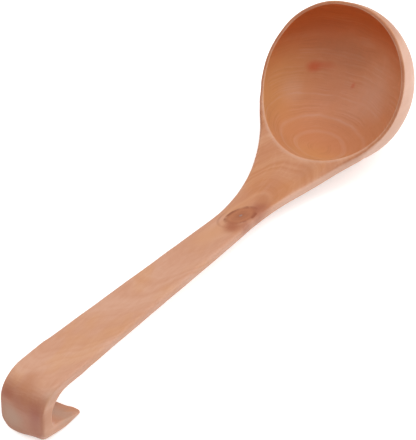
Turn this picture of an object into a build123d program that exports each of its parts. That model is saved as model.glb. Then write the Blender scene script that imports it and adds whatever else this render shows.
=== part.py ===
from build123d import *
from math import atan2, cos, degrees, radians, sin, sqrt, tan
import os

# A soup ladle carved from one piece of wood, lying on a table on the side of its bowl and on its hook.
# Millimetres and degrees. X runs from the bowl to the hook, +Z is up, and y = 0 is the plane of symmetry.
# The shape is the blank between two outlines, one from the side and one from above, joined to a hollow bowl.

# Bowl
mouth_width = 90.0  # outside, across the ladle
mouth_length = 95.0  # outside, along the ladle
rim_wall = 2.8
floor_wall = 5.0
straight_wall = 5.6  # from the rim down to the round belly
bowl_tilt = 53.5  # slope of the rim, which faces the hook
rim_edge_radius = 0.7

# Throat and neck, where the rim sweeps down into the handle
throat_start = 4.3  # down the rim from the middle of the mouth
throat_radius = 75.0
neck_fall = 5.2  # slope where the throat ends
neck_radius = 262.0
neck_thickness = 6.8
neck_width = 20.2
flare_start = 100.0  # from the middle of the mouth to where the neck starts to widen
flare_radius = 130.0
flare_turn = 37.5

# Handle
handle_rise = 7.1
handle_end_thickness = 6.5
handle_end_width = 28.2
handle_edge_radius = 2.2

# Hook, with parallel sides
hook_back = 283.7  # from the middle of the mouth to the outside of the hook
hook_reach = 30.8
hook_wall = 8.2
hook_bend_radius = 15.5
crook_radius = 9.5
lip_root_height = 11.0
lip_root_radius = 5.5
tip_height = 4.6
foot_side_radius = 6.0  # the foot is round across


def oval_bowl(belly_plane, half_length, half_width, wall_height):
    """A belly turned about the long axis of the mouth, with a straight oval wall above it."""
    with BuildPart() as form:
        with BuildSketch(belly_plane):
            Ellipse(half_length, half_width)
        extrude(amount=wall_height)
        with BuildSketch(belly_plane):
            Ellipse(half_length, half_width)
            split(bisect_by=Plane.XZ)
        revolve(axis=Axis(belly_plane.origin, belly_plane.x_dir))
    return form.part


def rim_edges(wall, belly):
    """The upper edges of a bowl's wall: neither straight nor shared with the belly."""
    seam = belly.edges()
    return wall.edges().filter_by(
        lambda one: one.geom_type != GeomType.LINE and not any(one.is_same(other) for other in seam)
    )


# The height of the mouth follows from the belly, whose side rests on the table
tilt = radians(bowl_tilt)
rise = radians(handle_rise)
half_width = mouth_width / 2
half_length = mouth_length / 2
belly_reach = sqrt((half_length * sin(tilt)) ** 2 + (half_width * cos(tilt)) ** 2)
mouth_height = straight_wall * cos(tilt) + belly_reach
mouth_plane = Plane(
    origin=(0, 0, mouth_height),
    x_dir=(cos(tilt), 0, -sin(tilt)),
    z_dir=(sin(tilt), 0, cos(tilt)),
)
inner_half_width = half_width - rim_wall
inner_half_length = half_length - rim_wall
inner_straight_wall = straight_wall + half_width - floor_wall - inner_half_width
throat_turn = bowl_tilt - neck_fall
overrun = mouth_length / 2

# Side view of the neck, the handle and the hook
with BuildSketch(Plane.XZ.offset(-mouth_width)) as side_outline:
    with BuildLine():
        rim = PolarLine((0, mouth_height), throat_start, -bowl_tilt)
        throat = JernArc(rim @ 1, rim % 1, throat_radius, throat_turn)
        neck = JernArc(throat @ 1, throat % 1, neck_radius, neck_fall + handle_rise)
        neck_end = neck @ 1
        hook_top = neck_end.Y + (hook_back - neck_end.X) * tan(rise)
        inner_back = hook_back - hook_wall
        lip_end = hook_back - hook_reach
        crook_top = hook_top - hook_wall * tan(rise) - handle_end_thickness / cos(rise)
        neck_under = (
            neck_end.X + neck_thickness * sin(rise),
            neck_end.Y - neck_thickness * cos(rise),
        )
        bend = FilletPolyline(
            neck_end, (hook_back, hook_top), (hook_back, 0), radius=[hook_bend_radius]
        )
        tip = Polyline(bend @ 1, (lip_end, 0), (lip_end, tip_height))
        crook = FilletPolyline(
            tip @ 1,
            (inner_back, lip_root_height),
            (inner_back, crook_top),
            neck_under,
            radius=[lip_root_radius, crook_radius],
        )
        under_slope = degrees(atan2(-(crook % 1).Y, -(crook % 1).X))
        under_neck = JernArc(
            crook @ 1, crook % 1, neck_radius + neck_thickness, -(neck_fall + under_slope)
        )
        under_throat = JernArc(
            under_neck @ 1, under_neck % 1, throat_radius + neck_thickness, -throat_turn
        )
        Line(under_throat @ 1, rim @ 0)
    make_face()

# Seen from above, the handle narrows to the neck, which flares to the sides of the mouth
with BuildSketch() as top_outline:
    with BuildLine():
        back = Line((hook_back, 0), (hook_back, handle_end_width / 2))
        hook_side = Line(back @ 1, (lip_end - hook_wall, handle_end_width / 2))
        handle_side = Line(hook_side @ 1, (flare_start, neck_width / 2))
        flare = JernArc(handle_side @ 1, handle_side % 1, flare_radius, -flare_turn)
        Polyline(flare @ 1, (0, (flare @ 1).Y), (0, 0))
        mirror(about=Plane.XZ)
    make_face()

# What is cut from the blank to make the foot round across
with BuildPart() as foot_waste:
    with BuildSketch(Plane.YZ.offset(lip_end - hook_wall)):
        Rectangle(2 * handle_end_width, 2 * foot_side_radius)
        with Locations((0, 2 * foot_side_radius)):
            RectangleRounded(
                handle_end_width, 4 * foot_side_radius, foot_side_radius, mode=Mode.SUBTRACT
            )
    extrude(amount=2 * hook_reach)

with BuildPart() as handle:
    add(top_outline.sketch)
    extrude(amount=2 * mouth_height)
    extrude(to_extrude=side_outline.sketch.faces(), amount=2 * mouth_width, mode=Mode.INTERSECT)
    add(foot_waste.part, mode=Mode.SUBTRACT)
    # Every edge is rounded but those that run across, the seams on the sides and what the bowl hides
    wing_end = (flare @ 1).X
    taper_start = lip_end - hook_wall
    outline_edges = handle.edges().filter_by(
        lambda one: abs((one % 0.5).Y) < cos(rise)
        and one.bounding_box().min.X > wing_end - rim_wall
        and (abs((one % 0.5).Z) < cos(rise) or one.center().X > taper_start + rim_wall)
    )
    fillet(outline_edges, handle_edge_radius)

# What lies above the rim, the throat and the neck
with BuildSketch(Plane.XZ.offset(-mouth_width)) as waste_outline:
    with BuildLine():
        high_rim = PolarLine((0, mouth_height), 2 * mouth_length, 180 - bowl_tilt)
        add([rim, throat, neck])
        Polyline(neck_end, (neck_end.X, (high_rim @ 1).Y), high_rim @ 1)
    make_face()

with BuildPart() as ladle:
    add(oval_bowl(mouth_plane.offset(-straight_wall), half_length, half_width, overrun))
    outer_belly = ladle.faces().filter_by(GeomType.REVOLUTION)
    extrude(to_extrude=waste_outline.sketch.faces(), amount=2 * mouth_width, mode=Mode.SUBTRACT)
    outer_wall = ladle.faces().filter_by(GeomType.EXTRUSION)
    fillet(rim_edges(outer_wall, outer_belly), rim_edge_radius)
    add(handle.part)
    cavity_plane = mouth_plane.offset(-inner_straight_wall)
    add(
        oval_bowl(cavity_plane, inner_half_length, inner_half_width, overrun),
        mode=Mode.SUBTRACT,
    )
    inner_wall = ladle.faces(Select.LAST).filter_by(GeomType.EXTRUSION)
    inner_belly = ladle.faces(Select.LAST).filter_by(GeomType.REVOLUTION)
    fillet(rim_edges(inner_wall, inner_belly), rim_edge_radius)

# The origin is on the table, below the middle of the ladle's length and width
box = ladle.part.bounding_box()
ladle.part.position = -Vector(box.center().X, box.center().Y, box.min.Z)
ladle.part.label = "ladle"

os.makedirs("parts", exist_ok=True)
export_step(ladle.part, "parts/ladle.step")
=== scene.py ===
import math

import bmesh
import bpy
from bpy.props import FloatProperty, FloatVectorProperty, IntProperty, PointerProperty
from bpy.types import Operator, Panel, PropertyGroup
from mathutils import Matrix, Vector, noise
from mathutils.kdtree import KDTree


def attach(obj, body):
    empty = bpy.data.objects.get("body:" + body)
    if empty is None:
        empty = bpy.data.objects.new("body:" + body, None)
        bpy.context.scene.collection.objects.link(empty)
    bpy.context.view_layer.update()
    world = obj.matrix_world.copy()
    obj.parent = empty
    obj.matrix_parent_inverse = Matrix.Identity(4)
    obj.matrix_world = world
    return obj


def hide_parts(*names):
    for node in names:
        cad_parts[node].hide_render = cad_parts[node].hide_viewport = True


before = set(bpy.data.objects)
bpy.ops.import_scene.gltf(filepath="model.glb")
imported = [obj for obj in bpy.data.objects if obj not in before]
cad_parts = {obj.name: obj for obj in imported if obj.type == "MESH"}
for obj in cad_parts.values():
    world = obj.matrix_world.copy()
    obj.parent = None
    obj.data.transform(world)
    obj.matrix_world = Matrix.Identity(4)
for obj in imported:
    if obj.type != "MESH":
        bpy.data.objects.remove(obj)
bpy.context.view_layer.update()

bl_info = {
    "name": "Soup ladle",
    "version": (1, 0, 0),
    "blender": (4, 5, 0),
    "location": "View3D > Sidebar > Ladle",
    "description": "A soup ladle carved from one piece of fruit wood, with its wood, floor and light",
    "category": "Object",
}

UP = Vector((0.0, 0.0, 1.0))
ACROSS = Vector((0.0, 1.0, 0.0))
MERGE_DISTANCE = 1e-6
TO_MILLIMETRES = 1000.0

# The hollow of the bowl, in metres, as the solid has it. The rim slopes down to the hook.
BOWL_MIDDLE = Vector((-0.1166, 0.0, 0.040))
RIM_MIDDLE = Vector((-0.11665, 0.0, 0.04996))
BOWL_TILT = math.radians(53.5)
DOWN_RIM = Vector((math.cos(BOWL_TILT), 0.0, -math.sin(BOWL_TILT)))
OUT_OF_MOUTH = Vector((math.sin(BOWL_TILT), 0.0, math.cos(BOWL_TILT)))
STRAIGHT_WALL = 0.0034
HOLLOW_HALF_LENGTH = 0.0447
HOLLOW_HALF_WIDTH = 0.0422

# The join, where the wings and the underside of the neck meet the bowl
JOIN_START, JOIN_END = -0.135, -0.060  # along X
GROOVE_LOW = Vector((-0.108, -0.040, 0.010))
GROOVE_HIGH = Vector((-0.082, 0.040, 0.031))
GROOVE_BEND = -0.2  # radians: an edge that is folded in more than this

# How the surface is rubbed
RUB_GAIN = 2.0  # how soon a point gets the full rubbing as its share grows
RUB_FACTOR = 0.5
SURFACE_PASSES = 2

# The hook, in metres, as the solid has it
HOOK_START = 0.126
HOOK_BACK = 0.16705
HOOK_HALF_WIDTH = 0.0141
EDGE_RADIUS = 0.0022
BEND_TOP = 0.040
FOOT_TOP = 0.026
FOOT_RADIUS = 0.006
LIP_ROOT = 0.1535
LIP_END = 0.1363
LIP_TOP = 0.012
CROOK = Vector((0.1555, 0.0, 0.029))

# How the hook is carved, and from where to where its shapes change
OUTLINE_HALF_WIDTH = 0.0004  # of the strip of points that gives the outline
UNDERSIDE_FACING = -0.5
EDGE_BLEND = 0.010  # along the handle, from soft edges to crisp ones
CROOK_REACH = 0.014
CROOK_FILL_WAY = Vector((-0.3, 0.0, -0.95))
CROOK_FACING = (0.5, 0.3)  # a point that faces back or up more than this is outside the crook
LIP_POINT_ACROSS = (0.004, HOOK_HALF_WIDTH)
NEAR_EDGE_ALONG = (0.145, 0.168)
HEEL_ACROSS = (-0.006, 0.010)
HEEL_CORNER_HEIGHT = (0.0, 0.012)
RUBBED_ALONG = (0.148, 0.160)
RUBBED_ACROSS = (0.002, 0.011)
RUBBED_HEIGHT = (0.015, 0.006)

# The bulge of the mouth: which way it points, and how it fades out, round the mouth and down
BULGE_WAY = DOWN_RIM * -0.75 + ACROSS * -0.66
RIM_OUT_FADE = (1.06, 1.0)
RIM_IN_FADE = (0.70, 0.97)
THINNING_TURN = (-0.1, 0.8)
BULGE_TURN = (0.86, 1.0)
BULGE_DEPTH = (0.03, 0.0)
OUTER_FACING = 0.3  # a point that faces outwards more than this is on the outer wall

# How a point of each kind of wood, of the mouth's edge with its painted highlight and of the painted
# sheen faces, and where it lies
END_FACING = (0.35, 0.95)
HOLLOW_FACING = (0.55, 0.95)
MOUTH_EDGE_FACING = (0.1, 0.35), (0.95, 0.75)
MOUTH_EDGE_OUT = (0.985, 0.998), (1.045, 1.02)
PAINTED_SHEEN_FACING = (0.35, 0.85)
PAINTED_SHEEN_ALONG = (-0.015, -0.055)
NEAR_HOLLOW = 1.05

# The wood's figure: places and sizes in millimetres, shares from 0 to 1
MIX_BELOW, MIX_ABOVE, MIX_RESULT = 6, 7, 2  # a Mix node's sockets for colours
FINE_DETAIL = 3
DRIFT_SIZE, DRIFT_STRETCH = 16.0, 2.5
FIGURE_DRIFT = 7.0
BOWL_DRIFT = 5.0
KNOT_DRIFT = 1.6
CLOUD_SIZE, CLOUD_STRETCH = 13.0, 2.2
CLOUD_EDGE, CLOUD_SHARE = (0.42, 0.66), 0.8
WARM_ALONG = (-8.0, -60.0)  # from the knot to the bowl
WARM_TINT = (0.91, 0.76, 0.59)

# Growth rings about the pith, and how they gain strength from the handle to the bowl
PITH_WAY = (0.947, -0.080, 0.311)
RING_SPACING, FINE_RING_SPACING, FINE_RING_SHARE = 6.5, 1.3, 0.3
RING_DARK, RING_LIGHT = (0.46, 0.68), (0.54, 0.30)
RINGS_ALONG, RING_GAIN = (-20.0, -50.0), (0.65, 1.1)
RINGS_LOST_IN_HOLLOW = 0.45
RING_ROUGH, FINE_RING_ROUGH = 0.4, 0.5

# Streaks and fibres
STREAK_SIZE, STREAK_STRETCH = 1.6, 8.0
STREAK_DARK, STREAK_DARK_SHARE = (0.5, 0.68), 0.10
STREAK_LIGHT, STREAK_LIGHT_SHARE = (0.5, 0.32), 0.07
FIBRE_SIZE, FIBRE_STRETCH, FIBRE_ROUGH = 0.55, 14.0, 0.6
FIBRE_EDGE, FIBRE_SHARE = (0.5, 0.8), 0.16

# The hollow: rings round a second heart, which come and go in patches, and golden painted light on
# one side of it and low in it
BOWL_HEART = (-110.0, -0.5, 9.0)
BOWL_RING_SPACING, BOWL_LINE_SPACING, BOWL_LINE_SHARE = 4.5, 1.1, 0.55
BOWL_RING_DARK, BOWL_RING_LIGHT = (0.50, 0.66), (0.50, 0.34)
PATCH_SIZE, PATCH_EDGE, PATCH_SHARES = 15.0, (0.40, 0.62), (0.03, 0.24)
BOWL_LOOPS = ((15.0, 0.22), (24.5, 0.16))  # radius and share
LOOP_HALF_WIDTH = 1.8
INNER_SHARE = 0.6
# Painted light: lighter, golden patches on the -Y wall of the hollow and low in it, where light falls
PAINTED_LIGHT_CORE = 0.1
PAINTED_LIGHT_SPOTS = (  # centre, reach in X, Y and Z, and share
    ((-104.0, -40.0, 32.0), (55.0, 34.0, 48.0), 0.75),
    ((-96.0, 6.0, 14.0), (26.0, 34.0, 24.0), 0.70),
)
# Painted shade: the hollow is darkened and tinted orange towards its top, where its upper wall
# overhangs and faces down
PAINTED_SHADE_HEIGHT = (30.0, 70.0)  # the hollow darkens upwards
PAINTED_SHADE_TINT = (0.80, 0.40, 0.150)

# End grain, the edge of the mouth, which is wear and a painted highlight, and the painted sheen on
# the near side of the bowl
END_TINT = (0.68, 0.50, 0.42)
END_SHARE, END_LOST_IN_HOLLOW = 0.9, 0.8
MOUTH_EDGE_WEAR_AND_HIGHLIGHT_SHARE = 0.36
PAINTED_SHEEN_SHARE = 0.65

# The knot. Its lines are given as shares of its half length and half width.
KNOT_PLACE = (-25.0, 1.9, 15.7)
KNOT_LONG = (-0.954, 0.299, 0.0)
KNOT_ACROSS = (0.299, 0.954, 0.0)
KNOT_HALF_LENGTH = 10.8
KNOT_HALF_WIDTH = 5.4
KNOT_DEPTH = 16.0
KNOT_WOOD = (0.430, 0.150, 0.064)
KNOT_WOOD_EDGE, KNOT_WOOD_SHARE = (1.05, 0.85), 0.9
KNOT_LINES = ((1.0, 0.34, 0.14, 0.95), (0.5, 0.2, 0.2, 0.3))  # radius, inside, outside, share
BARK_SIZE, BARK_EDGE, BARK_SHARES = 5.0, (0.38, 0.6), (0.2, 1.0)
HALF_LOOP, HALF_LOOP_WIDTH, HALF_LOOP_SHARE = 1.42, 0.14, 0.35
HALF_LOOP_ALONG = (-0.3, -0.9)
KNOT_CORE, KNOT_CORE_SHARE = (0.60, 0.10), 0.5
KNOT_HEART = (0.300, 0.210, 0.190)
KNOT_HEART_EDGE, KNOT_HEART_SHARE = (0.13, 0.07), 0.8

# Stains, and pale spots of painted sheen
STAIN_AND_SHEEN_CORE = 0.15
STAIN_AND_SHEEN_DRIFT = 0.6  # as a share of the stain's longest reach

# The feel of the surface
SHEEN_CLOUD, SHEEN_CHANGE = (0.3, 0.7), (-0.04, 0.04)
RELIEF_SIZE = 3.0
RELIEF_STRENGTH = 0.25
RELIEF_DEPTH = 0.00006

# The stage, in metres and watts
ROOM_LIGHT = 0.5
LAMPS = (  # name, place, target, size and power
    ("key", (-0.35, 0.85, 1.7), (0.0, 0.0, 0.03), 1.2, 14.0),
    ("front", (1.0, -0.4, 1.7), (-0.05, 0.0, 0.05), 1.2, 10.0),
    ("behind", (-1.3, 1.1, 0.5), (-0.1, 0.0, 0.05), 0.9, 5.5),
    ("left", (-0.1, -1.5, 1.1), (-0.05, 0.0, 0.05), 1.0, 4.0),
)
FLOOR_DROP = 0.0002  # keeps the floor's face off the foot's
FLOOR_ROUGHNESS = 0.9
FILM_HEIGHT = 24.0  # millimetres
CAMERA_NEAR, CAMERA_FAR = 0.05, 30.0


class CarvingSizes(PropertyGroup):
    """How the surface is worked."""

    grid: FloatProperty(
        name="Grid",
        description="Distance between the points of the surface while it is worked",
        default=0.0005,
        subtype="DISTANCE",
        unit="LENGTH",
    )
    most_faces: IntProperty(
        name="Most faces",
        description="Triangles that the finished ladle may have",
        default=190000,
    )
    join_width: FloatProperty(
        name="Join width",
        description="How far to each side the wings run into the outside of the bowl",
        default=0.011,
        subtype="DISTANCE",
        unit="LENGTH",
    )
    join_fill: FloatProperty(
        name="Join fill",
        description="Wood left standing in the groove between a wing and the bowl",
        default=0.0012,
        subtype="DISTANCE",
        unit="LENGTH",
    )
    join_passes: IntProperty(
        name="Join passes",
        description="How often the join and the foot's near corner are rubbed smooth",
        default=80,
    )
    lip_slant: FloatProperty(
        name="Lip slant",
        description="How much shorter the hook's lip is on its far side",
        default=0.0040,
        subtype="DISTANCE",
        unit="LENGTH",
    )
    lip_point: FloatProperty(
        name="Lip point",
        description="How much longer the lip is at its near corner",
        default=0.0020,
        subtype="DISTANCE",
        unit="LENGTH",
    )
    lip_thinning: FloatProperty(
        name="Lip thinning",
        description="Share of the lip's thickness that is cut away at its tip",
        default=0.36,
        subtype="FACTOR",
    )
    near_radius: FloatProperty(
        name="Near foot radius",
        description="Round on the foot's lower edge at +Y, by the lip",
        default=0.0025,
        subtype="DISTANCE",
        unit="LENGTH",
    )
    near_radius_back: FloatProperty(
        name="Near foot radius, back",
        description="The same at the back of the hook",
        default=0.0092,
        subtype="DISTANCE",
        unit="LENGTH",
    )
    far_radius: FloatProperty(
        name="Far foot radius",
        description="Round on the foot's lower edge at -Y",
        default=0.0122,
        subtype="DISTANCE",
        unit="LENGTH",
    )
    heel_radius: FloatProperty(
        name="Heel radius",
        description="Round on the lower edge of the hook's back, at -Y",
        default=0.003,
        subtype="DISTANCE",
        unit="LENGTH",
    )
    heel_radius_near: FloatProperty(
        name="Near heel radius",
        description="The same at +Y",
        default=0.0095,
        subtype="DISTANCE",
        unit="LENGTH",
    )
    heel_corner: FloatProperty(
        name="Heel corner",
        description="Round in the plan on the near corner of the heel, at its lowest",
        default=0.0125,
        subtype="DISTANCE",
        unit="LENGTH",
    )
    hook_edge_radius: FloatProperty(
        name="Hook edge radius",
        description="Round on the edges of the hook's sides",
        default=0.0008,
        subtype="DISTANCE",
        unit="LENGTH",
    )
    crook_fill: FloatProperty(
        name="Crook fill",
        description="Wood left standing in the upper inner corner of the hook",
        default=0.0012,
        subtype="DISTANCE",
        unit="LENGTH",
    )
    corner_rub: FloatProperty(
        name="Corner rub",
        description="Share of the rubbing that the foot's near corner gets",
        default=0.5,
        subtype="FACTOR",
        min=0.0,
        max=1.0,
    )
    rim_thinning: FloatProperty(
        name="Rim thinning",
        description="How much thinner the rim is on the far side",
        default=0.0004,
        subtype="DISTANCE",
        unit="LENGTH",
    )
    rim_bulge: FloatProperty(
        name="Rim bulge",
        description="How far the mouth reaches past a true oval on its far upper side",
        default=0.0007,
        subtype="DISTANCE",
        unit="LENGTH",
    )
    facet_depth: FloatProperty(
        name="Facet depth",
        description="How unevenly the surface is carved",
        default=0.0003,
        subtype="DISTANCE",
        unit="LENGTH",
    )
    facet_length: FloatProperty(
        name="Facet length",
        description="Distance from one hollow of the carved surface to the next",
        default=0.016,
        subtype="DISTANCE",
        unit="LENGTH",
    )


class WoodColours(PropertyGroup):
    """The colours of the wood and of the light and sheen painted on it, and how strong its figure is.
    """

    heart: FloatVectorProperty(
        name="Heart",
        description="The wood's own pinkish tan",
        default=(0.600, 0.305, 0.192),
        subtype="COLOR",
        size=3,
    )
    honey: FloatVectorProperty(
        name="Honey",
        description="Yellower wood in soft clouds",
        default=(0.605, 0.295, 0.150),
        subtype="COLOR",
        size=3,
    )
    ring: FloatVectorProperty(
        name="Rings",
        description="The darker line at the end of each year's growth",
        default=(0.480, 0.190, 0.085),
        subtype="COLOR",
        size=3,
    )
    # Pale is also laid as painted sheen in two spots in the hollow, and on the mouth's edge as wear
    # and a painted highlight
    pale: FloatVectorProperty(
        name="Pale wood",
        description="The lighter start of each year's growth, and dry patches",
        default=(0.730, 0.470, 0.350),
        subtype="COLOR",
        size=3,
    )
    ashen: FloatVectorProperty(
        name="Ashen wood",
        description="Greyer wood in the end grain",
        default=(0.440, 0.290, 0.200),
        subtype="COLOR",
        size=3,
    )
    # Painted sheen: a pale colour laid on the outer faces of the bowl's near side that face +Y, for
    # the reflection there
    painted_sheen_colour: FloatVectorProperty(
        name="Painted sheen",
        description="Pale wood on one side of the bowl",
        default=(0.760, 0.480, 0.365),
        subtype="COLOR",
        size=3,
    )
    inner: FloatVectorProperty(
        name="Inner wood",
        description="Warmer wood in the hollow of the bowl",
        default=(0.720, 0.320, 0.155),
        subtype="COLOR",
        size=3,
    )
    # Painted light: a lighter, golden colour on the -Y wall of the hollow and low in it
    painted_light: FloatVectorProperty(
        name="Painted light in hollow",
        description="Yellower light wood on one side of the hollow and low in it",
        default=(0.710, 0.365, 0.142),
        subtype="COLOR",
        size=3,
    )
    flame: FloatVectorProperty(
        name="Flame",
        description="Red streaks in the hollow",
        default=(0.600, 0.120, 0.040),
        subtype="COLOR",
        size=3,
    )
    russet: FloatVectorProperty(
        name="Russet",
        description="Reddish brown stains",
        default=(0.330, 0.085, 0.038),
        subtype="COLOR",
        size=3,
    )
    knot: FloatVectorProperty(
        name="Knot",
        description="The bark line round the knot",
        default=(0.270, 0.080, 0.034),
        subtype="COLOR",
        size=3,
    )
    ring_strength: FloatProperty(
        name="Ring strength",
        description="How clearly the growth rings show",
        default=0.30,
        subtype="FACTOR",
    )
    roughness: FloatProperty(
        name="Roughness",
        description="From polished at 0 to dry at 1",
        default=0.47,
        subtype="FACTOR",
    )


class StageSizes(PropertyGroup):
    """The floor, the light and the camera."""

    floor_colour: FloatVectorProperty(
        name="Floor colour",
        description="Colour of the floor",
        default=(0.9, 0.9, 0.9),
        subtype="COLOR",
        size=3,
    )
    floor_glow: FloatProperty(
        name="Floor glow",
        description="Light that the camera sees on the floor besides the lamps'",
        default=0.5,
    )
    floor_size: FloatProperty(
        name="Floor size",
        description="Length of the floor's sides",
        default=8.0,
        subtype="DISTANCE",
        unit="LENGTH",
    )
    camera_azimuth: FloatProperty(
        name="Camera azimuth",
        description="Direction of the camera around the ladle, from +X",
        default=math.radians(35.063),
        subtype="ANGLE",
    )
    camera_elevation: FloatProperty(
        name="Camera elevation",
        description="Height of the camera above the floor, as an angle",
        default=math.radians(42.666),
        subtype="ANGLE",
    )
    camera_roll: FloatProperty(
        name="Camera roll",
        description="How far the camera leans to its side",
        default=math.radians(1.070),
        subtype="ANGLE",
    )
    camera_distance: FloatProperty(
        name="Camera distance",
        description="From the camera to the point that it looks at",
        default=1.31018,
        subtype="DISTANCE",
        unit="LENGTH",
    )
    camera_aim: FloatVectorProperty(
        name="Camera aim",
        description="The point that the camera looks at",
        default=(0.00692, 0.00183, 0.03569),
        subtype="TRANSLATION",
        unit="LENGTH",
        size=3,
    )
    camera_lens: FloatProperty(
        name="Lens",
        description="Focal length in millimetres for a picture 24 mm high",
        default=130.909,
        unit="CAMERA",
    )


def link(piece):
    """Put an object in the scene."""
    bpy.context.scene.collection.objects.link(piece)
    return piece


def with_modifiers(piece):
    """The piece's mesh as its modifiers make it."""
    graph = bpy.context.evaluated_depsgraph_get()
    return bpy.data.meshes.new_from_object(piece.evaluated_get(graph))


def mix(start, end, share):
    """The value that is a share of the way from start to end."""
    return start + (end - start) * share


def smoothly(value, start, end):
    """Goes from 0 to 1 as the value goes from start to end."""
    share = min(1.0, max(0.0, (value - start) / (end - start)))
    return share * share * (3 - 2 * share)


def between(value, rise, fall):
    """Goes up to 1 over one stretch of the value and back to 0 over another."""
    return smoothly(value, *rise) * smoothly(value, *fall)


def tree_of(places):
    """The places, ready to be searched for the nearest."""
    tree = KDTree(len(places))
    for index, place in enumerate(places):
        tree.insert(place, index)
    tree.balance()
    return tree


def merged(mesh):
    """A copy of a mesh with its loose faces joined up."""
    whole = mesh.copy()
    bm = bmesh.new()
    bm.from_mesh(whole)
    bmesh.ops.remove_doubles(bm, verts=bm.verts, dist=MERGE_DISTANCE)
    bm.to_mesh(whole)
    bm.free()
    whole.materials.clear()
    return whole


def even_skin(blank, spacing):
    """Even small faces that lie on the blank's surface."""
    rough = link(bpy.data.objects.new("rough_ladle", blank.data.copy()))
    grid = rough.modifiers.new("grid", "REMESH")
    grid.mode = "VOXEL"
    grid.voxel_size = spacing
    grid.adaptivity = 0.0
    settle = rough.modifiers.new("settle", "SHRINKWRAP")
    settle.wrap_method = "NEAREST_SURFACEPOINT"
    settle.target = blank
    skin = with_modifiers(rough)
    bpy.data.objects.remove(rough)
    return skin


def outside_of_bowl(v):
    """Whether a point lies on the outside of the bowl's wall or on the wings."""
    return v.normal.dot(v.co - BOWL_MIDDLE) > 0


def find_groove(bm):
    """The points where the wings and the underside of the neck meet the outside of the bowl."""
    groove = set()
    for edge in bm.edges:
        middle = (edge.verts[0].co + edge.verts[1].co) / 2
        if all(low < m < high for low, m, high in zip(GROOVE_LOW, middle, GROOVE_HIGH)):
            if outside_of_bowl(edge.verts[0]) and edge.calc_face_angle_signed() < GROOVE_BEND:
                groove.update(edge.verts)
    return sorted(groove, key=lambda v: v.index)


def fill_join(bm, sizes):
    """Leave wood standing in the groove. Gives back the points round it and how much to rub them."""
    tree = tree_of([v.co for v in find_groove(bm)])
    shares = []
    for v in bm.verts:
        if JOIN_START < v.co.x < JOIN_END and outside_of_bowl(v):
            share = 1 - tree.find(v.co)[2] / sizes.join_width
            if share > 0:
                shares.append((v.index, share))
                v.co += v.normal * sizes.join_fill * share**2
    return shares


def rubbed(skin, shares, sizes):
    """The surface with some points rubbed well and all of it lightly, and fewer faces."""
    piece = link(bpy.data.objects.new("rough_ladle", skin))
    patch = piece.vertex_groups.new(name="rubbed")
    for index, share in shares:
        patch.add((index,), min(1.0, RUB_GAIN * share), "REPLACE")
    for group, passes in ((patch.name, sizes.join_passes), ("", SURFACE_PASSES)):
        smooth = piece.modifiers.new("rub", "SMOOTH")
        smooth.factor = RUB_FACTOR
        smooth.iterations = passes
        smooth.vertex_group = group
    thin = piece.modifiers.new("thin", "DECIMATE")
    triangles = 2 * len(skin.polygons)
    thin.ratio = min(1.0, sizes.most_faces / triangles)
    made = with_modifiers(piece)
    bpy.data.objects.remove(piece)
    return made


def shape_hook(bm, sizes):
    """Carve the hook: crisp edges, a thin slanted lip and a foot that is rounder at the back.

    Gives back the points of the foot's near corner and how much to rub them.
    """
    outline = hook_outline(bm)
    shares = []
    for v in bm.verts:
        if v.co.x < HOOK_START:
            continue
        sharpen(v, outline, sizes)
        fill_crook(v, sizes)
        if v.co.z > FOOT_TOP:
            continue
        thin_lip(v, sizes)
        round_foot(v, sizes)
        x, y, z = v.co
        share = smoothly(x, *RUBBED_ALONG) * smoothly(y, *RUBBED_ACROSS) * smoothly(z, *RUBBED_HEIGHT)
        if share > 0:
            shares.append((v.index, sizes.corner_rub * share))
    return shares


def hook_outline(bm):
    """The hook's outline from the side: its points, with the way that each of them faces."""
    start = HOOK_START - EDGE_BLEND
    points = [v for v in bm.verts if abs(v.co.y) < OUTLINE_HALF_WIDTH and v.co.x > start]
    tree = tree_of([(v.co.x, 0.0, v.co.z) for v in points])
    return tree, [Vector((v.normal.x, 0.0, v.normal.z)).normalized() for v in points]


def sharpen(v, outline, sizes):
    """Cut the rounded edges of the hook's sides down to a smaller radius."""
    from_side = HOOK_HALF_WIDTH - abs(v.co.y)
    if from_side > EDGE_RADIUS:
        return
    tree, ways = outline
    flat = Vector((v.co.x, 0.0, v.co.z))
    place, index, _ = tree.find(flat)
    way = ways[index]
    depth = (place - flat).dot(way)
    on_underside = way.z < UNDERSIDE_FACING and v.co.z < FOOT_RADIUS
    if depth > EDGE_RADIUS or on_underside:
        return
    high = smoothly(v.co.z, FOOT_TOP, BEND_TOP)
    on_handle = smoothly(v.co.x, HOOK_START + EDGE_BLEND, HOOK_START)
    radius = mix(sizes.hook_edge_radius, EDGE_RADIUS, max(high, on_handle))
    out, up = recut_corner(-depth, from_side, 0.0, EDGE_RADIUS, radius)
    v.co += way * (out + depth)
    v.co.y = math.copysign(HOOK_HALF_WIDTH - up, v.co.y)


def fill_crook(v, sizes):
    """Leave wood standing in the upper inner corner of the hook."""
    away = math.hypot(v.co.x - CROOK.x, v.co.z - CROOK.z)
    back, up = CROOK_FACING
    faces_crook = v.normal.x < back and v.normal.z < up
    if faces_crook:
        v.co += CROOK_FILL_WAY * sizes.crook_fill * smoothly(away, CROOK_REACH, 0.0)


def thin_lip(v, sizes):
    """Slant the end of the lip, draw its near corner out and cut it thinner."""
    if v.co.z > LIP_TOP:
        return
    tip = smoothly(v.co.x, LIP_ROOT, LIP_END)
    far = (HOOK_HALF_WIDTH - v.co.y) / (2 * HOOK_HALF_WIDTH)
    v.co.x += tip * sizes.lip_slant * far
    v.co.x -= tip * sizes.lip_point * smoothly(v.co.y, *LIP_POINT_ACROSS)
    v.co.z *= 1 - tip * sizes.lip_thinning


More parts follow.
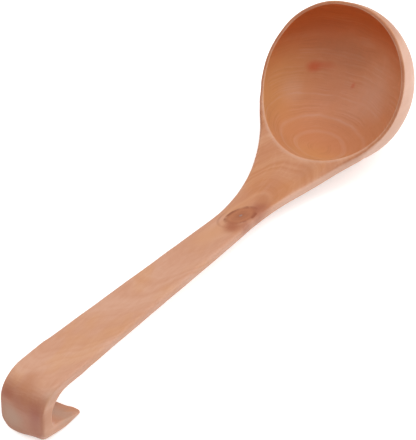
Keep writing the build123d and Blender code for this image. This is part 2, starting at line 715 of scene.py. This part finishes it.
def round_foot(v, sizes):
    """Round the foot's lower edges and the near corner of the heel."""
    x, y, z = v.co
    near = mix(sizes.near_radius, sizes.near_radius_back, smoothly(x, *NEAR_EDGE_ALONG))
    y, z = recut_corner(y, z, HOOK_HALF_WIDTH, FOOT_RADIUS, min(near, FOOT_RADIUS))
    y, z = rounded(y, z, HOOK_HALF_WIDTH, near)
    far_y, z = rounded(-y, z, HOOK_HALF_WIDTH, sizes.far_radius)
    y = -far_y
    heel = mix(sizes.heel_radius, sizes.heel_radius_near, smoothly(y, *HEEL_ACROSS))
    x, z = rounded(x, z, HOOK_BACK, heel)
    corner = mix(sizes.heel_corner, EDGE_RADIUS, smoothly(z, *HEEL_CORNER_HEIGHT))
    x, from_side = rounded(x, HOOK_HALF_WIDTH - y, HOOK_BACK, corner)
    v.co = (x, HOOK_HALF_WIDTH - from_side, z)


def rounded(out, up, edge, radius):
    """Move a point that is outside a rounded lower corner onto the round."""
    from_middle = Vector((out - (edge - radius), up - radius))
    if from_middle.x > 0 > from_middle.y and from_middle.length > radius:
        from_middle *= radius / from_middle.length
    return from_middle.x + edge - radius, from_middle.y + radius


def recut_corner(out, up, edge, old, radius):
    """Give a corner that is rounded by the old radius a smaller one.

    The point moves along the line from the middle of the old round, so that the old round comes to
    lie on the new corner, and the wood inside it follows.
    """
    from_middle = Vector((out - (edge - old), up - old))
    if not from_middle.x > 0 > from_middle.y:
        return out, up
    way = from_middle.normalized()
    offset = old - radius
    reach = old / max(way.x, -way.y)
    if min(way.x, -way.y) * reach > offset:
        middle = offset * (way.x - way.y)
        reach = middle + math.sqrt(max(0.0, middle**2 - 2 * offset**2 + radius**2))
    from_middle *= reach / old
    return from_middle.x + edge - old, from_middle.y + old


def thin_rim(bm, sizes):
    """Hollow the bowl further out at the rim's far upper side, where the mouth bulges."""
    for v in bm.verts:
        if v.co.x > JOIN_END:
            continue
        from_middle = v.co - RIM_MIDDLE
        along, across = from_middle.dot(DOWN_RIM), from_middle.y
        out = math.hypot(along / HOLLOW_HALF_LENGTH, across / HOLLOW_HALF_WIDTH)
        way = (DOWN_RIM * along + ACROSS * across).normalized()
        turn = way.dot(BULGE_WAY)
        depth = -from_middle.dot(OUT_OF_MOUTH)
        if v.normal.dot(way) < OUTER_FACING:
            share = between(out, RIM_OUT_FADE, RIM_IN_FADE) * smoothly(turn, *THINNING_TURN)
            v.co += way * sizes.rim_thinning * share
        v.co += way * sizes.rim_bulge * smoothly(turn, *BULGE_TURN) * smoothly(depth, *BULGE_DEPTH)


def wear_by_hand(bm, sizes):
    """Sink the surface unevenly by the depth that a knife leaves."""
    for v in bm.verts:
        swell = (1 + noise.noise(v.co / sizes.facet_length)) / 2
        v.co -= v.normal * sizes.facet_depth * swell
        v.co.z = max(v.co.z, 0.0)


def mark_grain_and_sheen(mesh):
    """Keep on each point the kind of wood that it cuts, end grain or hollow, and the mouth's edge,
    worn and with a painted highlight, and the painted sheen on the bowl's near side.
    """
    kinds = {name: [] for name in ("end_grain", "hollow", "mouth_edge_wear_and_highlight", "painted_sheen")}
    for v in mesh.vertices:
        out, way = from_hollow(v.co)
        inward = -v.normal.dot(way) if out < NEAR_HOLLOW else 0.0
        kinds["end_grain"].append(smoothly(v.normal.x, *END_FACING))
        kinds["hollow"].append(smoothly(inward, *HOLLOW_FACING))
        # The mouth's edge: partly worn pale, partly a painted highlight where the edge catches light
        edge = between(inward, *MOUTH_EDGE_FACING) * between(out, *MOUTH_EDGE_OUT)
        kinds["mouth_edge_wear_and_highlight"].append(edge)
        # Painted sheen: outer faces on the near side of the bowl that face +Y are made paler
        outer_near_side = v.co.y > 0 and inward < MOUTH_EDGE_FACING[0][0]
        by_bowl = smoothly(v.co.x, *PAINTED_SHEEN_ALONG) if outer_near_side else 0.0
        kinds["painted_sheen"].append(smoothly(v.normal.y, *PAINTED_SHEEN_FACING) * by_bowl)
    for name, values in kinds.items():
        mesh.attributes.new(name, "FLOAT", "POINT").data.foreach_set("value", values)


def from_hollow(place):
    """How far out of the hollow a place is, with 1 on its wall, and the way out."""
    from_middle = place - RIM_MIDDLE
    along = from_middle.dot(DOWN_RIM) / HOLLOW_HALF_LENGTH
    across = place.y / HOLLOW_HALF_WIDTH
    below = min(0.0, from_middle.dot(OUT_OF_MOUTH) + STRAIGHT_WALL) / HOLLOW_HALF_WIDTH
    way = DOWN_RIM * along / HOLLOW_HALF_LENGTH
    way += (ACROSS * across + OUT_OF_MOUTH * below) / HOLLOW_HALF_WIDTH
    return Vector((along, across, below)).length, way.normalized()


class LADLE_OT_carve(Operator):
    """Carve the ladle in one piece and give it its wood"""

    bl_idname = "ladle.carve"
    bl_label = "Carve the ladle"

    def execute(self, context):
        sizes = context.scene.ladle_carving
        blank = link(bpy.data.objects.new("blank", merged(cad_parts["ladle"].data)))
        skin = even_skin(blank, sizes.grid)
        bpy.data.objects.remove(blank)
        bm = bmesh.new()
        bm.from_mesh(skin)
        shares = fill_join(bm, sizes) + shape_hook(bm, sizes)
        thin_rim(bm, sizes)
        wear_by_hand(bm, sizes)
        bm.to_mesh(skin)
        bm.free()
        ladle = link(bpy.data.objects.new("carved_ladle", rubbed(skin, shares, sizes)))
        mark_grain_and_sheen(ladle.data)
        for face in ladle.data.polygons:
            face.use_smooth = True
        ladle.data.materials.append(fruit_wood(context.scene.ladle_wood))
        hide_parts("ladle")
        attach(ladle, "root")
        return {"FINISHED"}


class Recipe:
    """Adds nodes to a material and joins them up."""

    def __init__(self, name):
        self.material = bpy.data.materials.new(name)
        self.material.use_nodes = True
        self.tree = self.material.node_tree
        self.shader = self.tree.nodes["Principled BSDF"]

    def add(self, kind, **settings):
        """A new node."""
        node = self.tree.nodes.new(kind)
        for name, value in settings.items():
            setattr(node, name, value)
        return node

    def feed(self, socket, value):
        """Give a socket a value or join it to another socket."""
        if isinstance(value, bpy.types.NodeSocket):
            self.tree.links.new(value, socket)
        else:
            socket.default_value = value

    def maths(self, operation, *values):
        """One sum."""
        node = self.add("ShaderNodeMath", operation=operation)
        for socket, value in zip(node.inputs, values):
            self.feed(socket, value)
        return node.outputs[0]

    def times(self, first, *others):
        """The values multiplied."""
        for other in others:
            first = self.maths("MULTIPLY", first, other)
        return first


class Wood(Recipe):
    """Wood's figure by the place in the blank, in millimetres, and the colour laid on so far."""

    def __init__(self, name, colours):
        super().__init__(name)
        self.colours = colours
        place = self.add("ShaderNodeTexCoord").outputs["Object"]
        self.place = self.vector("SCALE", place, scale=TO_MILLIMETRES)
        long_place = self.stretch(self.place, DRIFT_STRETCH)
        haze = self.noise(long_place, DRIFT_SIZE, FINE_DETAIL, colour=True)
        self.drift = self.vector("SUBTRACT", haze, (0.5, 0.5, 0.5))
        self.bent = self.drifted(FIGURE_DRIFT)
        self.hollow = self.attribute("hollow")
        self.colour = opaque(colours.heart)

    def lay(self, share, over, how="MIX"):
        """Lay a share of a colour over what is there."""
        node = self.add("ShaderNodeMix", data_type="RGBA", blend_type=how)
        self.feed(node.inputs["Factor"], share)
        self.feed(node.inputs[MIX_BELOW], self.colour)
        self.feed(node.inputs[MIX_ABOVE], opaque(over))
        self.colour = node.outputs[MIX_RESULT]

    def drifted(self, reach):
        """The place, moved unevenly by about this much."""
        return self.vector("ADD", self.place, self.vector("SCALE", self.drift, scale=reach))

    def vector(self, operation, *values, scale=None):
        """One sum with vectors."""
        node = self.add("ShaderNodeVectorMath", operation=operation)
        for socket, value in zip(node.inputs, values):
            self.feed(socket, value)
        if scale is not None:
            self.feed(node.inputs["Scale"], scale)
        return node.outputs["Value" if operation in ("LENGTH", "DOT_PRODUCT") else "Vector"]

    def distance(self, place, centre):
        """How far a place is from the centre."""
        return self.vector("LENGTH", self.vector("SUBTRACT", place, centre))

    def measure(self, place, axis):
        """One measure of a place: X along the ladle or Z for its height."""
        split = self.add("ShaderNodeSeparateXYZ")
        self.feed(split.inputs[0], place)
        return split.outputs[axis]

    def stretch(self, place, along):
        """The place squeezed along X, which draws a pattern out along the grain."""
        return self.vector("MULTIPLY", place, (1 / along, 1.0, 1.0))

    def noise(self, place, size, detail=2.0, rough=0.5, colour=False):
        """Clouds about as large as size, from 0 to 1, or as a vector."""
        node = self.add("ShaderNodeTexNoise", noise_dimensions="3D")
        self.feed(node.inputs["Vector"], place)
        node.inputs["Scale"].default_value = 1 / size
        node.inputs["Detail"].default_value = detail
        node.inputs["Roughness"].default_value = rough
        return node.outputs["Color" if colour else "Fac"]

    def noise_line(self, value, size, rough):
        """Uneven bands along one value."""
        node = self.add("ShaderNodeTexNoise", noise_dimensions="1D")
        self.feed(node.inputs["W"], value)
        node.inputs["Scale"].default_value = 1 / size
        node.inputs["Detail"].default_value = 1.0
        node.inputs["Roughness"].default_value = rough
        return node.outputs["Fac"]

    def bands(self, value, spacing, fine_spacing, fine_share):
        """Uneven rings along one value, with finer ones among them."""
        wide = self.times(self.noise_line(value, spacing, RING_ROUGH), 1 - fine_share)
        fine = self.times(self.noise_line(value, fine_spacing, FINE_RING_ROUGH), fine_share)
        return self.maths("ADD", wide, fine)

    def rise(self, value, start, end, low=0.0, high=1.0):
        """Goes smoothly from low to high as the value goes from start to end."""
        node = self.add("ShaderNodeMapRange", interpolation_type="SMOOTHSTEP")
        self.feed(node.inputs["Value"], value)
        node.inputs["From Min"].default_value = start
        node.inputs["From Max"].default_value = end
        node.inputs["To Min"].default_value = low
        node.inputs["To Max"].default_value = high
        return node.outputs["Result"]

    def line(self, value, middle, below, above):
        """1 where the value is at the middle, falling to 0 on both sides."""
        return self.times(
            self.rise(value, middle - below, middle), self.rise(value, middle + above, middle)
        )

    def spot(self, place, centre, reach, core):
        """1 in the core of an oval spot, falling to 0 at its reach in X, Y and Z."""
        away = self.vector("DIVIDE", self.vector("SUBTRACT", place, centre), reach)
        return self.rise(self.vector("LENGTH", away), 1.0, core)

    def attribute(self, name):
        """A value that is kept on the points of the mesh."""
        return self.add("ShaderNodeAttribute", attribute_name=name).outputs["Fac"]


def opaque(colour):
    """The colour as a socket takes it."""
    return (*colour, 1.0)


def fruit_wood(colours):
    """Pinkish tan fruit wood, lightly oiled, with a knot in the neck, and with shade, light and sheen
    painted into its colour.
    """
    wood = Wood("fruit_wood", colours)
    cloud = wood.noise(wood.stretch(wood.bent, CLOUD_STRETCH), CLOUD_SIZE)
    wood.lay(wood.rise(cloud, *CLOUD_EDGE, 0.0, CLOUD_SHARE), colours.honey)
    lay_growth_rings(wood)
    towards_bowl = wood.rise(wood.measure(wood.bent, "X"), *WARM_ALONG)
    wood.lay(towards_bowl, WARM_TINT, "MULTIPLY")
    fibre = lay_fibres(wood)
    lay_hollow(wood)
    lay_edges(wood)
    lay_knot(wood)
    for centre, reach, tint, share in stains_and_painted_sheen(colours):
        ragged = wood.drifted(max(reach) * STAIN_AND_SHEEN_DRIFT)
        wood.lay(wood.times(wood.spot(ragged, centre, reach, STAIN_AND_SHEEN_CORE), share), tint)
    wood.feed(wood.shader.inputs["Base Color"], wood.colour)
    sheen = wood.rise(cloud, *SHEEN_CLOUD, *SHEEN_CHANGE)
    wood.feed(wood.shader.inputs["Roughness"], wood.maths("ADD", sheen, colours.roughness))
    relief = wood.add("ShaderNodeBump")
    relief.inputs["Strength"].default_value = RELIEF_STRENGTH
    relief.inputs["Distance"].default_value = RELIEF_DEPTH
    swell = wood.noise(wood.place, RELIEF_SIZE, FINE_DETAIL)
    wood.feed(relief.inputs["Height"], wood.maths("ADD", fibre, swell))
    wood.feed(wood.shader.inputs["Normal"], relief.outputs["Normal"])
    return wood.material


def lay_growth_rings(wood):
    """Growth rings about the pith, which leaves the wood at the knot."""
    from_pith = wood.vector("SUBTRACT", wood.bent, KNOT_PLACE)
    ring = wood.vector("LENGTH", wood.vector("CROSS_PRODUCT", from_pith, PITH_WAY))
    band = wood.bands(ring, RING_SPACING, FINE_RING_SPACING, FINE_RING_SHARE)
    strength = wood.times(
        wood.rise(wood.measure(wood.place, "X"), *RINGS_ALONG, *RING_GAIN),
        wood.colours.ring_strength,
        wood.maths("MULTIPLY_ADD", wood.hollow, -RINGS_LOST_IN_HOLLOW, 1.0),
    )
    dark = wood.times(wood.rise(band, *RING_DARK), strength)
    light = wood.times(wood.rise(band, *RING_LIGHT), strength)
    wood.lay(dark, wood.colours.ring)
    wood.lay(light, wood.colours.pale)


def lay_fibres(wood):
    """Faint streaks and fine fibres along the grain. Gives back the fibres."""
    streak = wood.noise(wood.stretch(wood.bent, STREAK_STRETCH), STREAK_SIZE)
    wood.lay(wood.rise(streak, *STREAK_DARK, 0.0, STREAK_DARK_SHARE), wood.colours.ring)
    wood.lay(wood.rise(streak, *STREAK_LIGHT, 0.0, STREAK_LIGHT_SHARE), wood.colours.pale)
    long_place = wood.stretch(wood.bent, FIBRE_STRETCH)
    fibre = wood.noise(long_place, FIBRE_SIZE, FINE_DETAIL, FIBRE_ROUGH)
    wood.lay(wood.rise(fibre, *FIBRE_EDGE, 0.0, FIBRE_SHARE), wood.colours.ring)
    return fibre


def lay_hollow(wood):
    """Deeper oiled wood in the hollow, with golden painted light on one side of it and low in it, and
    rings round a second heart.
    """
    colours = wood.colours
    wood.lay(wood.times(wood.hollow, INNER_SHARE), colours.inner)
    # Painted light: the -Y wall of the hollow and its lower part made lighter and golden
    for centre, reach, share in PAINTED_LIGHT_SPOTS:
        painted_light = wood.spot(wood.bent, centre, reach, PAINTED_LIGHT_CORE)
        wood.lay(wood.times(painted_light, wood.hollow, share), colours.painted_light)
    far = wood.distance(wood.drifted(BOWL_DRIFT), BOWL_HEART)
    band = wood.bands(far, BOWL_RING_SPACING, BOWL_LINE_SPACING, BOWL_LINE_SHARE)
    patches = wood.rise(wood.noise(wood.place, PATCH_SIZE), *PATCH_EDGE, *PATCH_SHARES)
    strength = wood.times(wood.hollow, patches)
    wood.lay(wood.times(wood.rise(band, *BOWL_RING_DARK), strength), colours.ring)
    wood.lay(wood.times(wood.rise(band, *BOWL_RING_LIGHT), strength), colours.pale)
    for radius, share in BOWL_LOOPS:
        loop = wood.line(far, radius, LOOP_HALF_WIDTH, LOOP_HALF_WIDTH)
        wood.lay(wood.times(loop, wood.hollow, share), colours.pale)


def lay_edges(wood):
    """Darker end grain, painted shade in the upper part of the hollow, the mouth's pale edge as wear
    and a painted highlight, and a painted sheen on the near side of the bowl.
    """
    outer = wood.maths("MULTIPLY_ADD", wood.hollow, -END_LOST_IN_HOLLOW, END_SHARE)
    wood.lay(wood.times(wood.attribute("end_grain"), outer), END_TINT, "MULTIPLY")
    # Painted shade: the upper part of the hollow is darkened, where its wall overhangs
    painted_shade = wood.rise(wood.measure(wood.bent, "Z"), *PAINTED_SHADE_HEIGHT)
    wood.lay(wood.times(painted_shade, wood.hollow), PAINTED_SHADE_TINT, "MULTIPLY")
    # The mouth's pale edge: wear and a painted highlight
    wood.lay(wood.times(wood.attribute("mouth_edge_wear_and_highlight"), MOUTH_EDGE_WEAR_AND_HIGHLIGHT_SHARE), wood.colours.pale)
    # Painted sheen on the near side of the bowl
    wood.lay(wood.times(wood.attribute("painted_sheen"), PAINTED_SHEEN_SHARE), wood.colours.painted_sheen_colour)


def lay_knot(wood):
    """A small knot across the neck: a bark line, an inner ring, a half loop and a grey heart."""
    bark = wood.colours.knot
    shaken = wood.drifted(KNOT_DRIFT)
    away = wood.vector("SUBTRACT", shaken, KNOT_PLACE)
    axes = ((KNOT_LONG, KNOT_HALF_LENGTH), (KNOT_ACROSS, KNOT_HALF_WIDTH), (UP, KNOT_DEPTH))
    reaches = [wood.vector("DOT_PRODUCT", away, way) for way, _ in axes]
    shares = [wood.maths("DIVIDE", reach, half) for reach, (_, half) in zip(reaches, axes)]
    oval = wood.add("ShaderNodeCombineXYZ")
    for socket, share in zip(oval.inputs, shares):
        wood.feed(socket, share)
    out = wood.vector("LENGTH", oval.outputs[0])
    wood.lay(wood.rise(out, *KNOT_WOOD_EDGE, 0.0, KNOT_WOOD_SHARE), KNOT_WOOD)
    uneven = wood.rise(wood.noise(shaken, BARK_SIZE), *BARK_EDGE, *BARK_SHARES)
    for radius, inside, outside, share in KNOT_LINES:
        wood.lay(wood.times(wood.line(out, radius, inside, outside), uneven, share), bark)
    loop = wood.line(out, HALF_LOOP, HALF_LOOP_WIDTH, HALF_LOOP_WIDTH)
    by_handle = wood.rise(shares[0], *HALF_LOOP_ALONG)
    wood.lay(wood.times(loop, by_handle, HALF_LOOP_SHARE), bark)
    wood.lay(wood.rise(out, *KNOT_CORE, 0.0, KNOT_CORE_SHARE), bark)
    wood.lay(wood.rise(out, *KNOT_HEART_EDGE, 0.0, KNOT_HEART_SHARE), KNOT_HEART)


def stains_and_painted_sheen(colours):
    """Stains, and pale spots of painted sheen in the hollow: the centre, the reach in X, Y and Z, the
    colour and the share.
    """
    return (
        ((0.0, -1.0, 17.0), (22.0, 9.0, 8.0), colours.honey, 0.7),
        ((-13.5, 4.5, 16.5), (10.0, 7.5, 8.0), colours.ring, 0.85),
        ((-14.0, 3.5, 16.5), (7.5, 6.0, 8.0), colours.russet, 0.60),
        ((-38.5, 6.8, 15.4), (9.0, 7.0, 8.0), colours.russet, 0.7),
        ((-20.0, 9.0, 14.5), (8.0, 5.0, 7.0), colours.russet, 0.55),
        ((-31.0, 9.5, 14.5), (8.0, 5.0, 7.0), colours.russet, 0.55),
        ((-44.0, 4.5, 15.4), (7.0, 6.0, 8.0), colours.ring, 0.80),
        ((-73.0, 12.0, 19.5), (12.0, 9.0, 9.0), colours.ring, 0.6),
        ((145.0, 8.0, 6.0), (12.0, 16.0, 7.0), colours.ashen, 0.55),
        ((-144.5, -30.0, 30.5), (7.0, 9.0, 4.5), colours.flame, 0.75),
        ((-147.0, -21.0, 30.5), (7.0, 9.0, 4.5), colours.flame, 0.85),
        ((-148.5, -13.0, 31.0), (6.0, 6.0, 4.0), colours.ring, 0.8),
        ((-157.0, -13.0, 40.0), (16.0, 26.0, 15.0), colours.ring, 0.55),
        ((160.0, 14.1, 34.0), (8.0, 6.0, 7.0), colours.ashen, 0.25),
        ((162.5, 14.5, 20.0), (10.0, 8.0, 14.0), colours.ring, 0.65),
        ((-150.8, -6.7, 22.0), (4.0, 1.8, 3.0), colours.flame, 0.8),
        # Painted sheen: a pale spot for the broad grey-beige reflection on the right of the hollow
        ((-150.0, 8.0, 24.0), (22.0, 17.0, 26.0), colours.pale, 0.4),
        # Painted sheen: a pale spot for the pinkish reflection on the left of the hollow
        ((-125.7, -32.6, 22.8), (14.0, 12.0, 12.0), colours.pale, 0.3),
        ((159.8, -1.4, 34.3), (12.0, 8.0, 8.0), colours.ring, 0.75),
        ((166.0, -9.9, 26.8), (6.0, 6.0, 5.0), colours.russet, 0.6),
        ((167.0, -1.0, 24.0), (8.0, 11.0, 5.5), colours.russet, 0.4),
        ((166.5, 9.0, 22.0), (6.0, 8.0, 12.0), colours.russet, 0.9),
        ((167.0, 9.5, 10.0), (6.0, 7.0, 10.0), colours.russet, 0.5),
        ((167.1, -6.5, 12.0), (6.0, 11.0, 13.0), colours.ashen, 0.55),
    )


class LADLE_OT_stage(Operator):
    """Lay the floor, and set the light and the camera"""

    bl_idname = "ladle.stage"
    bl_label = "Set the stage"

    def execute(self, context):
        sizes = context.scene.ladle_stage
        lay_floor(sizes)
        set_lamps()
        set_camera(context.scene, sizes)
        context.scene.view_settings.view_transform = "Standard"
        return {"FINISHED"}


def lay_floor(sizes):
    """A plain pale floor, just below the foot."""
    bm = bmesh.new()
    bmesh.ops.create_grid(bm, x_segments=1, y_segments=1, size=sizes.floor_size / 2)
    mesh = bpy.data.meshes.new("floor")
    bm.to_mesh(mesh)
    bm.free()
    floor = link(bpy.data.objects.new("floor", mesh))
    floor.data.transform(Matrix.Translation((0.0, 0.0, -FLOOR_DROP)))
    floor.data.materials.append(floor_paint(sizes.floor_colour, sizes.floor_glow))


def floor_paint(colour, glow):
    """Matt pale paint, which looks white in the camera and in reflections."""
    paint = Recipe("floor_paint")
    shader = paint.shader
    shader.inputs["Base Color"].default_value = opaque(colour)
    shader.inputs["Roughness"].default_value = FLOOR_ROUGHNESS
    shader.inputs["Specular IOR Level"].default_value = 0.0
    rays = paint.add("ShaderNodeLightPath")
    seen = paint.maths("MAXIMUM", rays.outputs["Is Camera Ray"], rays.outputs["Is Glossy Ray"])
    seen = paint.maths("MAXIMUM", seen, rays.outputs["Is Transmission Ray"])
    shader.inputs["Emission Color"].default_value = (1.0, 1.0, 1.0, 1.0)
    paint.feed(shader.inputs["Emission Strength"], paint.times(seen, glow))
    return paint.material


def lamp(name, place, target, size, power):
    """A square soft lamp that faces the target."""
    light = bpy.data.lights.new(name, "AREA")
    light.shape = "SQUARE"
    light.size = size
    light.energy = power
    piece = link(bpy.data.objects.new(name, light))
    way = Vector(target) - Vector(place)
    piece.location = place
    piece.rotation_euler = way.to_track_quat("-Z", "Y").to_euler()


def set_lamps():
    """A soft key from above on the right and three weaker lamps, in an even pale room."""
    world = bpy.data.worlds.new("pale_room")
    world.use_nodes = True
    room = world.node_tree.nodes["Background"]
    room.inputs["Color"].default_value = (1.0, 1.0, 1.0, 1.0)
    room.inputs["Strength"].default_value = ROOM_LIGHT
    bpy.context.scene.world = world
    for name, place, target, size, power in LAMPS:
        lamp(name, place, target, size, power)


def set_camera(scene, sizes):
    """The camera stands where the picture was taken from."""
    camera = bpy.data.cameras.new("camera")
    camera.sensor_fit = "VERTICAL"
    camera.sensor_height = FILM_HEIGHT
    camera.lens = sizes.camera_lens
    camera.clip_start = CAMERA_NEAR
    camera.clip_end = CAMERA_FAR
    piece = link(bpy.data.objects.new("camera", camera))
    turn = (
        Matrix.Rotation(math.pi / 2 + sizes.camera_azimuth, 4, "Z")
        @ Matrix.Rotation(math.pi / 2 - sizes.camera_elevation, 4, "X")
        @ Matrix.Rotation(sizes.camera_roll, 4, "Z")
    )
    back = turn @ Vector((0.0, 0.0, sizes.camera_distance))
    piece.matrix_world = Matrix.Translation(Vector(sizes.camera_aim) + back) @ turn
    scene.camera = piece


class LADLE_PT_panel(Panel):
    """The ladle's sizes and its two steps"""

    bl_idname = "LADLE_PT_panel"
    bl_label = "Soup ladle"
    bl_space_type = "VIEW_3D"
    bl_region_type = "UI"
    bl_category = "Ladle"

    def draw(self, context):
        groups = (
            ("Wood", context.scene.ladle_wood, None),
            ("Carving", context.scene.ladle_carving, "ladle.carve"),
            ("Stage", context.scene.ladle_stage, "ladle.stage"),
        )
        for title, group, step in groups:
            box = self.layout.box()
            box.label(text=title)
            for name in group.bl_rna.properties.keys():
                if name not in ("rna_type", "name"):
                    box.prop(group, name)
            if step:
                box.operator(step)


CLASSES = (CarvingSizes, WoodColours, StageSizes, LADLE_OT_carve, LADLE_OT_stage, LADLE_PT_panel)


def register():
    for one in CLASSES:
        bpy.utils.register_class(one)
    bpy.types.Scene.ladle_carving = PointerProperty(type=CarvingSizes)
    bpy.types.Scene.ladle_wood = PointerProperty(type=WoodColours)
    bpy.types.Scene.ladle_stage = PointerProperty(type=StageSizes)


def unregister():
    del bpy.types.Scene.ladle_stage
    del bpy.types.Scene.ladle_wood
    del bpy.types.Scene.ladle_carving
    for one in reversed(CLASSES):
        bpy.utils.unregister_class(one)


def main():
    register()
    bpy.ops.ladle.carve()
    bpy.ops.ladle.stage()


if __name__ == "__main__":
    main()
